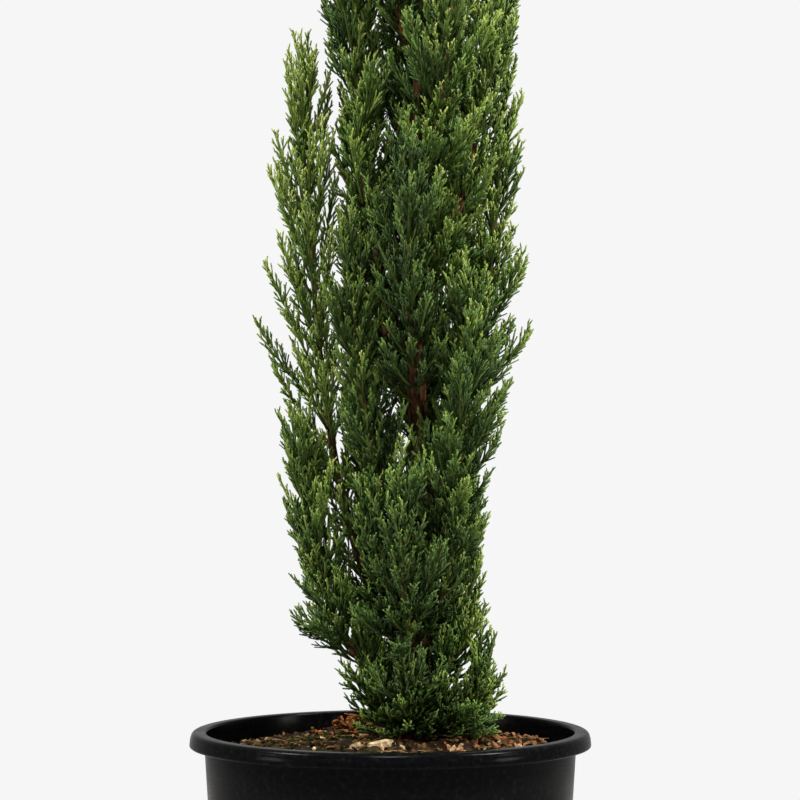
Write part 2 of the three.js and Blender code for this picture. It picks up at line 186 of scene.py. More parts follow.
# The crown's outline.
CROWN_HEIGHT = 1130
CROWN_RADIUS = 142
CROWN_FOOT_SHARE = 0.6
CROWN_SWELL = 0.25
CROWN_SPIRE = 1.6
CROWN_BLUNT = 0.85
CROWN_TIP_RADIUS = 16
CLEAR_OF_GROUND = 5
CLEAR_OF_TRUNK = 2

# The boughs.
GOLDEN_ANGLE = 137.5
BOUGH_RADIUS = 4.4
BOUGH_TIP_RADIUS = 1.1
BOUGH_TAPER = 0.8
BOUGH_OF_TRUNK = 0.62
BOUGH_BARE = 36
BOUGH_MOST_BARE = 0.3
LEAFY_FROM_FOOT = 0.0
BOUGH_LEAVE_OUT = 0.72
BOUGH_LEAVE_UP = 0.17
BOUGH_CLIMB = 0.45
STEM_POINTS = 60
TRACE_POINTS = 24

# Name, height of the foot, turn about the trunk, reach from the trunk at the tip, height of the tip,
# length of the shoots on it, and how closely they stand.
LOWER_BOUGHS = (
    ("left_low", 28, 187, 82, 206, 61, 1.6),
    ("front_low", 62, -104, 54, 178, 54, 1.4),
    ("right_low", 26, -6, 38, 152, 52, 1.6),
    ("back_low", 54, 58, 58, 222, 60, 1.4),
    ("left_leader", 54, 176, 84, 486, 100, 0.52),
    ("back_left_low", 78, 128, 60, 296, 60, 1.5),
    ("right_front", 126, -42, 50, 318, 62, 1.15),
    ("left_front", 146, -152, 52, 356, 60, 1.2),
    ("right_leader", 168, 6, 60, 560, 70, 0.9),
    ("back_right", 196, 52, 60, 470, 64, 1.0),
    ("front_middle", 240, -98, 44, 420, 62, 1.0),
    ("back_left", 250, 140, 60, 540, 62, 1.0),
    ("left_column", 284, 190, 56, 600, 62, 1.0),
    ("right_column", 322, -28, 56, 630, 64, 1.0),
    ("back_column", 360, 104, 50, 640, 62, 1.4),
)
TRUNK_SHOOTS = (
    ("bottom_left", 6, -152, 40, 70, 44, 2.6),
    ("bottom_front", 6, -98, 36, 48, 44, 2.2),
    ("bottom_right", 6, -28, 54, 46, 48, 2.8),
    ("bottom_back", 8, 92, 44, 80, 54, 3.2),
    ("left_inner", 92, -142, 44, 170, 50, 1.7),
    ("right_inner", 84, -52, 42, 172, 50, 1.3),
    ("front_heart", 292, -52, 30, 480, 56, 1.0),
    ("back_heart", 214, 84, 30, 430, 56, 1.4),
)
SPIRE_BOUGHS = 9
SPIRE_FEET = (388, 836)
SPIRE_RISES = (300, 165)
SPIRE_FIRST_TURN = -64
SPIRE_SHOOTS = (66, 46)
SPIRE_REACH = 0.52
SPIRE_FULLNESS = 1.1

# Bark on the trunk and the stems.
STEM_RINGS_EVERY = 6
STEM_FEWEST_RINGS = 8
STEM_SIDES = 8
STEM_END = 0.97
WOODY = 0.45  # share of a stem with bark on it; the rest is still green
BARK_RELIEF = 0.07
GREEN_RELIEF = 0.03
BARK_RIDGES = ((5, 0.3), (9, 0.35), (14, 0.25))  # how many round the stem, and how high
BARK_SHORT_WAVES = (16, 30)
BARK_LONG_WAVES = (40, 80)

# The shoots on a plume's stem.
SHOOT_EVERY = 2.8
SHOOT_FEWEST = 5
SHOOT_FOOT = 0.3  # where the shoots start, as a share of the bare stretch of a bough
SHOOT_SPREAD = 330  # how far round the stem they wind, about the side away from the trunk
SHOOT_LEAVE = (54, 24)
SHOOT_LEAVE_JITTER = 16
SHOOT_ROLL = 60
SHOOT_LIFT = 0.2
SHOOT_BEND = 0.22
SHOOT_SIZES = (0.58, 1.5)
SHOOT_MOSTLY_SHORT = 2.4
SHOOT_SHORTER_UP = 0.25
SHOOT_TIP_AT = 0.985
SHOOT_TIP_LENGTH = 51
SHOOT_TRIES = 9
SHOOT_TRIED_AT = (0.6, 1.0)
SHOOT_SHORTER = 0.88
SHOOT_SLACK = -4  # how far past the crown's outline it may end
SHOOT_SHARED = 9  # how far a shoot may grow into its neighbour's room

# The side twigs on a shoot, and the leafy twiglets on a side twig. Their brighter_out makes twigs lighter
# towards the parent's tip: partly fresher growth, partly painted shade that darkens the inner twigs.
SIDE_TWIGS = {
    "every": 3.6,
    "fewest": 4,
    "first": 0.15,
    "last": 0.98,
    "leave": (32, 20),
    "tilt": 42,
    "lift": 0.12,
    "bend": 0.12,
    "of_parent": 0.42,
    "shortest": 4.5,
    "longest": 24,
    "brighter_out": 0.52,
    "uneven_tone": 0.09,
}
TWIGLETS = {
    "every": 3.3,
    "fewest": 2,
    "first": 0.1,
    "last": 0.94,
    "leave": (27, 18),
    "tilt": 45,
    "lift": 0.1,
    "bend": 0.08,
    "of_parent": 0.62,
    "shortest": 4,
    "longest": 14,
    "brighter_out": 0.26,
    "uneven_tone": 0.0,
}
TWIG_PLACES = (0.2, 0.8)  # within its stretch of the parent
TWIG_LEAVES = (0.65, 1.35)
TWIG_LENGTHS = (0.75, 1.2)
TWIG_ROLL = 60
TWIG_SLACK = 3
# A twig's length by its place on its parent: part of it at the foot, soon all, the least at the tip.
PLUMP_FOOT = 0.5
PLUMP_RISE = 2
PLUMP_FALL = 0.75
PLUMP_LEAST = 0.1

# Rings of the twigs: share of the length, and radius.
TWIGLET_RINGS = ((0.0, 0.66), (1.0, 0.6))
SIDE_TWIG_RINGS = ((0.0, 0.78), (1.0, 0.6))
SHOOT_RINGS = ((0.0, 1.3), (0.3, 1.15), (0.6, 0.95), (1.0, 0.75))
GIRTHS = (0.85, 1.15)
TWIG_SIDES = 3
TWIG_PARTS = 4  # shapes that the twigs of one order and green are split into

# Plain colours of the foliage, from dark to light. A twig gets one by its tone, so they carry the crown's
# painted light and shade as well as its older and fresher growth; the lightest also paint highlights.
GREENS = (
    ("deep", (0.029, 0.063, 0.012)),
    ("dark", (0.055, 0.114, 0.021)),
    ("middle", (0.111, 0.200, 0.034)),
    ("fresh_and_lit", (0.214, 0.322, 0.054)),
    ("tips", (0.390, 0.490, 0.120)),
)
LEAF_ROUGHNESS = 0.5
LEAF_SPECULAR = 0.28
SHOOT_STEM = (0.105, 0.150, 0.030)
SHOOT_STEM_ROUGHNESS = 0.6
SHOOT_STEM_SPECULAR = 0.3

# A shoot's tone, from 0 for deep to 1 for the lit tips: lighter high up and far out. This is partly fresher
# growth far out and partly painted light and shade: the crown darker low down and near the trunk, where
# shade falls.
TONE_START = 0.27
# Painted light: the crown made lighter towards its top and darker low down.
PAINTED_LIGHT_UP = 0.26  # over the crown's height
TONE_FAR = 100
# Partly fresher growth far out, partly painted shade near the trunk.
TONE_OUT = 0.16  # over that far from the trunk
TONE_UNEVEN = 0.08
TONE_OF_PLUME = 0.14

# Plumes that depart from these rules. Their tone shifts are painted light and shade: plumes that lie in
# shade made darker, plumes that catch the light made lighter.
HABITS = {
    "left_low": {"seed": 11, "foot": 1.25, "tone": 0.02},
    "front_low": {"tone": -0.12},
    "right_low": {"seed": 46, "foot": 0, "tone": 0.14},
    "back_low": {"tone": 0.1},
    "left_leader": {
        "seed": 38,
        "spread": 280,
        "shorter_up": 0.2,
        "tone": 0.16,
        "side_twigs": {"of_parent": 0.34, "longest": 16},
    },
    "back_left_low": {"foot": 0},
    "right_front": {"seed": 19},
    "left_front": {"tone": 0.02},
    "right_leader": {"seed": 39, "shorter_up": 0.6, "tone": 0.13},
    "front_middle": {"tone": -0.18},
    "back_left": {"tone": 0.02},
    "left_column": {"tone": 0.05},
    "right_column": {"tone": 0.1},
    "back_column": {"tone": -0.18},
    "spire_1": {"tone": 0.06},
    "spire_2": {"tone": -0.1},
    "spire_3": {"tone": -0.12},
    "bottom_left": {"tone": 0.05},
    "bottom_front": {"tone": -0.13},
    "bottom_right": {"seed": 14, "tone": 0.06},
    "left_inner": {"tone": -0.1},
    "front_heart": {"tone": 0.08},
}

# Uses of a plume's fixed random numbers, and the numbers that scramble them.
WINDING_SALT = 1
TONE_SALT = 3
SCRAMBLE_PLUME = 12.9898
SCRAMBLE_SALT = 37.719
SCRAMBLE_SCALE = 43758.5453

# Grained materials: scale of the noise, its stretch, roughness and height of the bump.
EVEN = (1.0, 1.0, 1.0)
GRAINS = {
    "bark_mix": (160.0, EVEN, 0.95, 2.0),
    "chips": (300.0, (1.0, 0.3, 1.0), 0.9, 0.6),
    "fibres": (200.0, EVEN, 0.9, 0.2),
    "bark": (260.0, (1.0, 1.0, 0.16), 0.85, 1.2),
    "green_stems": (120.0, (1.0, 1.0, 0.3), 0.7, 0.4),
    "floor": (6.0, EVEN, 0.8, 0.1),
}
GRAIN_DETAIL = 6.0
GRAIN_SPECULAR = 0.1
GRAIN_BUMP = 0.6

# Their colours, each at a number of the noise.
DIM_AND_BRIGHT = (0.35, 0.65)
MIX_STOPS = (
    (0.3, (0.005, 0.0035, 0.002)),
    (0.5, (0.016, 0.010, 0.005)),
    (0.75, (0.050, 0.031, 0.013)),
)
BARK_STOPS = (
    (0.3, (0.036, 0.018, 0.010)),
    (0.52, (0.138, 0.057, 0.029)),
    (0.72, (0.320, 0.160, 0.088)),
)
GREEN_STEM_STOPS = (
    (0.35, (0.150, 0.130, 0.040)),
    (0.55, (0.240, 0.220, 0.065)),
    (0.75, (0.330, 0.210, 0.090)),
)
FLOOR_STOPS = (
    (0.3, (0.56, 0.56, 0.56)),
    (0.7, (0.60, 0.60, 0.60)),
)

# The pot's plastic. A noise is its scale, detail and stretch.
POT_COLOUR = (0.0030, 0.0034, 0.0040)
POT_SPECULAR = 0.045
POT_ROUGHNESS = 0.18
POT_SCUFFED = (0.13, 0.24)
POT_SCUFFS = (34.0, 8.0, (1.0, 1.0, 2.5))
POT_DUST = (260.0, 10.0, EVEN)
POT_DUST_STOPS = (
    (0.4, (0.0024, 0.0027, 0.0032)),
    (0.58, (0.0038, 0.0041, 0.0045)),
    (0.78, (0.012, 0.0117, 0.0112)),
)
POT_GRAIN = (420.0, 4.0, EVEN)
POT_GRAIN_BUMP = 0.18
POT_GRAIN_HEIGHT = 0.4
NOISE_SPAN = (0.3, 0.7)  # where most of a noise's numbers lie

# Stage, light and camera.
CAMERA_PLACE = (0.0072, -2.184, 0.527)
CAMERA_LENS = 131.4
CAMERA_SENSOR = 36.0
STAGE_RADIUS = 1600
STAGE_DEPTH = 2
STAGE_SIDES = 128
BACKDROP = (0.922, 0.922, 0.925)
AMBIENT_FRONT = 0.01
AMBIENT_BACK = 0.42
LIGHT_COLOUR = (1.0, 0.965, 0.91)
# Soft boxes: name, place, what it looks at, size and power.
LIGHTS = (
    ("left", (-1.55, -0.5, 1.9), (0.0, 0.0, 0.85), 0.5, 40.0),
    ("right", (1.55, -0.5, 1.9), (0.0, 0.0, 0.85), 0.5, 52.0),
    ("top", (0.0, -0.95, 2.3), (0.0, 0.0, 0.85), 0.5, 18.0),
    ("back", (0.0, 1.6, 2.3), (0.0, 0.0, 0.8), 0.8, 16.0),
)
# Spots on the pot: name, place, what it looks at, angle of its cone, radius and power.
POT_LIGHTS = (
    ("pot_front", (0.0, -1.05, 1.45), (0.0, -0.16, 0.2), 16, 0.12, 45.0),
    ("pot_left", (-1.41, -0.51, 0.35), (0.0, 0.0, 0.1), 19, 0.36, 52.0),
    ("pot_right", (1.41, -0.51, 0.35), (0.0, 0.0, 0.1), 19, 0.36, 52.0),
)
SPOT_BLEND = 0.8


# Numbers and directions


def blend(start, end, share):
    """A number or point between two others."""
    return start + (end - start) * share


def chance(plume, salt):
    """A fixed random number from 0 to 1 for a plume's number and a use."""
    value = np.sin(plume * SCRAMBLE_PLUME + salt * SCRAMBLE_SALT) * SCRAMBLE_SCALE
    return value - np.floor(value)


def unit(vectors):
    return vectors / np.linalg.norm(vectors, axis=-1, keepdims=True)


def square_to(vectors, ways):
    """The vectors turned square to the ways."""
    return unit(vectors - ways * np.sum(vectors * ways, axis=-1, keepdims=True))


def turned_about(vectors, axes, degrees):
    """The vectors, square to the axes, turned about them."""
    turn = np.radians(degrees)[:, None]
    return vectors * np.cos(turn) + np.cross(axes, vectors) * np.sin(turn)


def leaning(ways, sides, degrees, lift):
    """The ways leaned towards their sides, and lifted a little."""
    lean = np.radians(degrees)[:, None]
    return unit(ways * np.cos(lean) + sides * np.sin(lean) + UP * lift)


def between(at, places, rows):
    """Points at some places, between rows of points whose places are known."""
    return np.stack([np.interp(at, places, rows[:, i]) for i in range(3)], axis=1)


def lengths_along(points):
    """How far along a line each of its points is."""
    return np.concatenate([[0], np.cumsum(np.linalg.norm(np.diff(points, axis=0), axis=1))])


# Trunk and crown


def trunk_axis(up):
    up = np.asarray(up, float)
    sway = np.sin(TURN * up / TRUNK_SWAY_LENGTH) * TRUNK_SWAY
    x = TRUNK_FOOT_X + TRUNK_LEAN * up / TRUNK_HEIGHT + sway
    return np.stack([x, sway * TRUNK_SWAY_BACK, GROUND + up], axis=-1)


def trunk_radius(up):
    share = np.clip(np.asarray(up, float) / TRUNK_HEIGHT, 0, 1)
    taper = blend(TRUNK_FOOT_RADIUS, TRUNK_TIP_RADIUS, share**TRUNK_TAPER)
    return taper + TRUNK_FLARE * np.exp(-np.maximum(up, 0) / TRUNK_FLARE_HEIGHT)


def crown_reach(up):
    share = np.clip(np.asarray(up, float) / CROWN_HEIGHT, 0, 1)
    rise = np.clip(share / CROWN_SWELL, 0, 1)
    swell = blend(CROWN_FOOT_SHARE, 1, rise * rise * (3 - 2 * rise))
    return CROWN_RADIUS * swell * (1 - share**CROWN_SPIRE) ** CROWN_BLUNT


def from_trunk(points):
    """How high above the mix some points are, and how far from the trunk's axis."""
    up = points[:, 2] - GROUND
    return up, np.linalg.norm((points - trunk_axis(up))[:, :2], axis=1)


def in_crown(points, slack):
    """Which points lie in the crown, above the mix and off the trunk."""
    up, out = from_trunk(points)
    inside = out < np.maximum(crown_reach(up), CROWN_TIP_RADIUS) + slack
    off_trunk = (up > TRUNK_HEIGHT) | (out > trunk_radius(up) + CLEAR_OF_TRUNK)
    return inside & off_trunk & (up > CLEAR_OF_GROUND) & (up < CROWN_HEIGHT)


# Boughs


class Stem:
    """The stem of one plume, from the trunk to its tip, as points evenly spaced along it."""

    def __init__(self, name, points, across, radii, most_bare, shoots):
        self.name = name
        self.habit = HABITS.get(name, {})
        self.shoot_length, self.fullness = shoots
        self.points = points
        self.across = across
        self.radii = radii
        self.length = np.linalg.norm(np.diff(points, axis=0), axis=1).sum()
        self.bare = min(most_bare, BOUGH_BARE / self.length)

    def along(self, at):
        """Points at shares of the length, with the way on, a level way across and the way out."""
        shares = np.linspace(0, 1, len(self.points))
        ways = np.gradient(self.points, axis=0)
        point = between(at, shares, self.points)
        way = unit(between(at, shares, ways))
        across = square_to(np.broadcast_to(self.across, way.shape), way)
        return point, way, across, np.cross(across, way)

    def radius(self, at):
        return blend(self.radii[0], self.radii[1], np.asarray(at) ** BOUGH_TAPER)


def even_points(start, leave, climb, end):
    """Points evenly spaced along a cubic curve."""
    t = np.linspace(0, 1, 4 * STEM_POINTS)[:, None]
    fine = (1 - t) ** 3 * start + 3 * (1 - t) ** 2 * t * leave + 3 * (1 - t) * t**2 * climb + t**3 * end
    gone = lengths_along(fine)
    even = np.linspace(0, gone[-1], STEM_POINTS)
    return between(even, gone, fine)


def bough(row, most_bare):
    """A stem that leaves the trunk, swings out and climbs beside it."""
    name, foot, turn, reach, top, *shoots = row
    out = np.array((math.cos(math.radians(turn)), math.sin(math.radians(turn)), 0.0))
    rise = top - foot
    start = trunk_axis(foot)
    end = trunk_axis(top) + out * reach
    leave = start + out * BOUGH_LEAVE_OUT * reach + UP * BOUGH_LEAVE_UP * rise
    points = even_points(start, leave, end - UP * BOUGH_CLIMB * rise, end)
    across = np.array((-out[1], out[0], 0.0))
    radii = (min(BOUGH_RADIUS, BOUGH_OF_TRUNK * trunk_radius(foot)), BOUGH_TIP_RADIUS)
    return Stem(name, points, across, radii, most_bare, shoots)


def spire_row(i):
    """The spire's boughs wind up the trunk by the golden angle and shorten towards the tip."""
    share = i / (SPIRE_BOUGHS - 1)
    foot = blend(*SPIRE_FEET, share)
    top = foot + blend(*SPIRE_RISES, share)
    reach = SPIRE_REACH * crown_reach((foot + top) / 2)
    turn = SPIRE_FIRST_TURN + i * GOLDEN_ANGLE
    return (f"spire_{i + 1}", foot, turn, reach, top, blend(*SPIRE_SHOOTS, share), SPIRE_FULLNESS)


def leader():
    """The trunk's own tip, which carries on as foliage."""
    top = CROWN_HEIGHT - SHOOT_TIP_LENGTH
    points = np.linspace(trunk_axis(TRUNK_HEIGHT), trunk_axis(top), STEM_POINTS)
    across = np.array((0.0, 1.0, 0.0))
    radii = (TRUNK_TIP_RADIUS, BOUGH_TIP_RADIUS)
    return Stem("leader", points, across, radii, LEAFY_FROM_FOOT, (SPIRE_SHOOTS[1], SPIRE_FULLNESS))


def all_stems():
    rows = list(LOWER_BOUGHS) + [spire_row(i) for i in range(SPIRE_BOUGHS)]
    boughs = [bough(row, BOUGH_MOST_BARE) for row in rows]
    shoots = [bough(row, LEAFY_FROM_FOOT) for row in TRUNK_SHOOTS]
    return boughs + shoots + [leader()]


# Foliage


class Twigs:
    """Many twigs of one order as arrays. Each starts at its root, bends up and spreads its fan."""

    def __init__(self, root, heading, length, bend, fan, tone):
        self.root = root
        self.heading = heading
        self.length = length
        self.bend = bend
        self.fan = fan
        self.tone = tone

    def at(self, owner, share):
        """Points and ways at shares of the length of the twigs numbered by owner."""
        share = share[:, None]
        heading = self.heading[owner]
        bent = self.bend * share
        gone = self.length[owner][:, None] * share
        point = self.root[owner] + gone * (heading * (1 - bent) + UP * bent)
        return point, unit(heading * (1 - 2 * bent) + UP * 2 * bent)

    def everyone_at(self, share):
        owner = np.arange(len(self.length))
        return self.at(owner, np.full(len(owner), share))

    def kept(self, keep):
        parts = (self.root[keep], self.heading[keep], self.length[keep])
        return Twigs(*parts, self.bend, self.fan[keep], self.tone[keep])


def joined_twigs(groups):
    """Several sets of twigs of one order as one set."""
    root, heading, length, fan, tone = (
        np.concatenate([getattr(group, part) for group in groups])
        for part in ("root", "heading", "length", "fan", "tone")
    )
    return Twigs(root, heading, length, groups[0].bend, fan, tone)


def place_tone_and_painted_light(points):
    """How light the foliage is at some points: partly fresher growth far out, partly painted light and
    shade, darker low down and near the trunk.
    """
    up, out = from_trunk(points)
    return TONE_START + PAINTED_LIGHT_UP * up / CROWN_HEIGHT + TONE_OUT * out / TONE_FAR


def plume_tone_and_painted_light(stem, number):
    """How much lighter a plume is than its place alone makes it: its listed tone shift, which is painted
    light and shade, else a random tone of its own.
    """
    return stem.habit.get("tone", TONE_OF_PLUME * (chance(number, TONE_SALT) - 0.5))


def wound(stem, number, across, out):
    """The sides that a stem's shoots leave from, wound round it by the golden angle."""
    winding = (np.arange(len(out)) * GOLDEN_ANGLE / 360 + chance(number, WINDING_SALT)) % 1 - 0.5
    turn = np.radians(90 + stem.habit.get("spread", SHOOT_SPREAD) * winding)[:, None]
    return across * np.cos(turn) + out * np.sin(turn)


def stem_shoots(stem, number, random):
    """The shoots along the stem of one plume, shorter and steeper higher up."""
    foot = stem.habit.get("foot", SHOOT_FOOT) * stem.bare
    count = max(SHOOT_FEWEST, round(stem.length * (1 - foot) * stem.fullness / SHOOT_EVERY))
    share = (np.arange(count) + 0.5) / count
    point, way, across, out = stem.along(blend(foot, 1, share))
    side = wound(stem, number, across, out)
    leave = blend(*SHOOT_LEAVE, share) + SHOOT_LEAVE_JITTER * random.uniform(-0.5, 0.5, count)
    heading = leaning(way, side, leave, SHOOT_LIFT)
    fan = square_to(np.cross(way, side), heading)
    fan = turned_about(fan, heading, random.uniform(-SHOOT_ROLL, SHOOT_ROLL, count))
    size = blend(*SHOOT_SIZES, random.uniform(0, 1, count) ** SHOOT_MOSTLY_SHORT)
    length = stem.shoot_length * size * (1 - stem.habit.get("shorter_up", SHOOT_SHORTER_UP) * share)
    # The tone holds painted light and shade from the shoot's place and its plume, and a random unevenness.
    tone = place_tone_and_painted_light(point) + plume_tone_and_painted_light(stem, number) + TONE_UNEVEN * random.normal(size=count)
    return Twigs(point, heading, length, SHOOT_BEND, fan, tone)


def tip_shoot(stem, random):
    """The shoot that ends a stem, along its own line."""
    point, way, across, _ = stem.along(np.array([SHOOT_TIP_AT]))
    fan = turned_about(across, way, random.uniform(0, 180, 1))
    return Twigs(point, way, np.array([SHOOT_TIP_LENGTH]), SHOOT_BEND, fan, place_tone_and_painted_light(point) + TONE_UNEVEN)


def nearest(points, traces):
    """How far each point is from the nearest of the traces."""
    gaps = points[:, None, :] - traces[None, :, :]
    return np.sqrt(np.min(np.sum(gaps * gaps, axis=2), axis=1))


def in_own_room(points, number, traces):
    """Which points lie nearer to their own stem than to any other, or not far past that."""
    own = nearest(points, traces[number])
    others = np.concatenate([trace for i, trace in enumerate(traces) if i != number])
    return own < nearest(points, others) + SHOOT_SHARED


def fitted(shoots, number, traces):
    """The shoots of a plume, shortened where they would leave its room; what finds no room is dropped."""
    fits = np.zeros(len(shoots.length), bool)
    for _ in range(SHOOT_TRIES):
        fits[:] = True
        for share in SHOOT_TRIED_AT:
            points = shoots.everyone_at(share)[0]
            fits &= in_crown(points, SHOOT_SLACK) & in_own_room(points, number, traces)
        shoots.length = np.where(fits, shoots.length, shoots.length * SHOOT_SHORTER)
    return shoots.kept(fits)


def plump(share):
    """How long a twig is for its place along the parent."""
    return np.minimum(1, PLUMP_FOOT + PLUMP_RISE * share) * (1 - share) ** PLUMP_FALL + PLUMP_LEAST


def branched(parents, rule, random):
    """Side twigs on each parent, to both sides of its fan in turn, shorter towards its tip."""
    span = parents.length * (rule["last"] - rule["first"])
    counts = np.maximum(rule["fewest"], np.round(span / rule["every"])).astype(int)
    owner = np.repeat(np.arange(len(counts)), counts)
    total = len(owner)
    order = np.arange(total) - np.repeat(np.cumsum(counts) - counts, counts)
    place = (order + random.uniform(*TWIG_PLACES, total)) / counts[owner]
    share = blend(rule["first"], rule["last"], place)
    root, way = parents.at(owner, share)
    fan = square_to(parents.fan[owner], way) * np.where(order % 2, 1, -1)[:, None]
    side = turned_about(fan, way, random.normal(0, rule["tilt"], total))
    leave = blend(*rule["leave"], share) * random.uniform(*TWIG_LEAVES, total)
    heading = leaning(way, side, leave, rule["lift"])
    length = parents.length[owner] * rule["of_parent"] * plump(share) * random.uniform(*TWIG_LENGTHS, total)
    length = np.clip(length, rule["shortest"], rule["longest"])
    spread = turned_about(square_to(side, heading), heading, random.uniform(-TWIG_ROLL, TWIG_ROLL, total))
    # Lighter towards the parent's tip: partly fresher growth, partly painted shade on the inner twigs.
    tone = parents.tone[owner] + rule["brighter_out"] * (share - 0.5)
    tone = tone + rule["uneven_tone"] * random.normal(size=total)
    twigs = Twigs(root, heading, length, rule["bend"], spread, tone)
    return twigs.kept(in_crown(twigs.everyone_at(1.0)[0], TWIG_SLACK))


def grown_plume(stem, number, traces):
    """The shoots, side twigs and twiglets of one plume, from random numbers of its own."""
    random = np.random.default_rng((stem.habit.get("seed", SEED), number))
    shoots = fitted(stem_shoots(stem, number, random), number, traces)
    shoots = joined_twigs([shoots, tip_shoot(stem, random)])
    side_twigs = branched(shoots, {**SIDE_TWIGS, **stem.habit.get("side_twigs", {})}, random)
    return shoots, side_twigs, branched(side_twigs, TWIGLETS, random)


# Meshes and pieces


def joined(parts):
    """Several vertex and triangle arrays as one."""
    starts = np.cumsum([0] + [len(vertices) for vertices, _ in parts[:-1]])
    vertices = np.concatenate([vertices for vertices, _ in parts])
    triangles = np.concatenate([triangles + start for (_, triangles), start in zip(parts, starts)])
    return vertices, triangles


def repeated(pattern, count, step):
    """One shape's triangles, for a count of shapes with so many vertices each."""
    starts = np.arange(count) * step
    return (pattern[None] + starts[:, None, None]).reshape(-1, 3)


def mesh_of(name, vertices, triangles, smooth):
    """A mesh in metres from vertices in millimetres."""
    mesh = bpy.data.meshes.new(name)
    mesh.vertices.add(len(vertices))
    mesh.vertices.foreach_set("co", (vertices * MM).astype(np.float32).ravel())
    mesh.loops.add(3 * len(triangles))
    mesh.loops.foreach_set("vertex_index", triangles.astype(np.int32).ravel())
    mesh.polygons.add(len(triangles))
    mesh.polygons.foreach_set("loop_start", np.arange(0, 3 * len(triangles), 3, dtype=np.int32))
    mesh.polygons.foreach_set("use_smooth", np.full(len(triangles), smooth))
    mesh.update(calc_edges=True)
    mesh.validate()
    return mesh


def placed(name, data):
    """A new object in the scene."""
    made = bpy.data.objects.new(name, data)
    bpy.context.scene.collection.objects.link(made)
    return made


def piece(name, shape, material, smooth=True):
    """One visible piece of the plant, which rides on its only body."""
    made = placed(name, mesh_of(name, *shape, smooth))
    made.data.materials.append(material)
    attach(made, "root")
    return made


def pieces_of(name, shapes, material):
    """The shapes joined into as few pieces as stay under the limit."""
    groups = [[]]
    size = 0
    for shape in shapes:
        if groups[-1] and size + len(shape[1]) > MOST_TRIANGLES:
            groups.append([])
            size = 0
        groups[-1].append(shape)
        size += len(shape[1])
    return [piece(f"{name}_{i}", joined(group), material) for i, group in enumerate(groups, 1)]


def skin(rings, sides):
    """The triangles of a closed skin over rings of points, whose two end points follow the rings."""
    here = np.arange(sides)
    beside = (here + 1) % sides
    triangles = []
    for row in range(rings - 1):
        low, high = row * sides, (row + 1) * sides
        triangles.append(np.stack([here + low, beside + low, beside + high], axis=1))
        triangles.append(np.stack([here + low, beside + high, here + high], axis=1))
    top = (rings - 1) * sides
    first = rings * sides
    triangles.append(np.stack([beside, here, np.full(sides, first)], axis=1))
    triangles.append(np.stack([here + top, beside + top, np.full(sides, first + 1)], axis=1))
    return np.concatenate(triangles)


def lathe(profile, sides):
    """A profile of (radius, height) points turned about +Z; its ends lie on the axis."""
    turn = np.arange(sides) * TURN / sides
    inner = np.asarray(profile[1:-1], float)
    ring = np.stack([np.cos(turn), np.sin(turn)], axis=1)
    level = np.broadcast_to(inner[:, None, 1:], (len(inner), sides, 1))
    walls = np.concatenate([inner[:, None, :1] * ring[None], level], axis=2).reshape(-1, 3)
    ends = [(0, 0, profile[0][1]), (0, 0, profile[-1][1])]
    return np.concatenate([walls, ends]), skin(len(inner), sides)


def rods(twigs, rings, girth):
    """Three-sided twigs with blunt closed ends, as vertices and triangles."""
    count = len(twigs.length)
    vertices = np.empty((count, TWIG_SIDES * len(rings), 3))
    for ring, (share, radius) in enumerate(rings):
        point, way = twigs.everyone_at(share)
        first = square_to(twigs.fan, way)
        for corner in range(TWIG_SIDES):
            out = turned_about(first, way, np.full(count, 360 / TWIG_SIDES * corner))
            vertices[:, TWIG_SIDES * ring + corner] = point + out * (radius * girth)[:, None]
    return vertices.reshape(-1, 3), repeated(rod_pattern(len(rings)), count, vertices.shape[1])


def rod_pattern(rings):
    """The triangles of one rod: its two ends and its sides."""
    last = TWIG_SIDES * (rings - 1)
    pattern = [(2, 1, 0), (last, last + 1, last + 2)]
    for corner in range(TWIG_SIDES):
        beside = (corner + 1) % TWIG_SIDES
        for ring in range(0, last, TWIG_SIDES):
            pattern.append((ring + corner, ring + beside, ring + beside + TWIG_SIDES))
            pattern.append((ring + corner, ring + beside + TWIG_SIDES, ring + corner + TWIG_SIDES))
    return np.array(pattern)


# Materials


def set_inputs(node, values):
    for name, value in values.items():
        node.inputs[name].default_value = value
    return node


def shader_of(material):
    return material.node_tree.nodes["Principled BSDF"]


def connect(material, output, name):
    """Leads a node's output to one input of the material's shader."""
    material.node_tree.links.new(output, shader_of(material).inputs[name])


def principled(name, colour, roughness, specular):
    material = bpy.data.materials.new(name)
    material.use_nodes = True
    values = {"Base Color": (*colour, 1.0), "Roughness": roughness, "Specular IOR Level": specular}
    set_inputs(shader_of(material), values)
    return material


def noise(material, scale, detail, stretch):
    """A noise pattern over the object's own coordinates."""
    nodes, links = material.node_tree.nodes, material.node_tree.links
    place = nodes.new("ShaderNodeTexCoord")
    mapping = set_inputs(nodes.new("ShaderNodeMapping"), {"Scale": stretch})
    pattern = set_inputs(nodes.new("ShaderNodeTexNoise"), {"Scale": scale, "Detail": detail})
    links.new(place.outputs["Object"], mapping.inputs["Vector"])
    links.new(mapping.outputs["Vector"], pattern.inputs["Vector"])
    return pattern.outputs["Fac"]


def colour_ramp(material, factor, stops):
    """Colours by a factor."""
    made = material.node_tree.nodes.new("ShaderNodeValToRGB")
    while len(made.color_ramp.elements) < len(stops):
        made.color_ramp.elements.new(0.5)
    for element, (position, colour) in zip(made.color_ramp.elements, stops):
        element.position = position
        element.color = (*colour, 1.0)
    material.node_tree.links.new(factor, made.inputs["Fac"])
    return made.outputs["Color"]


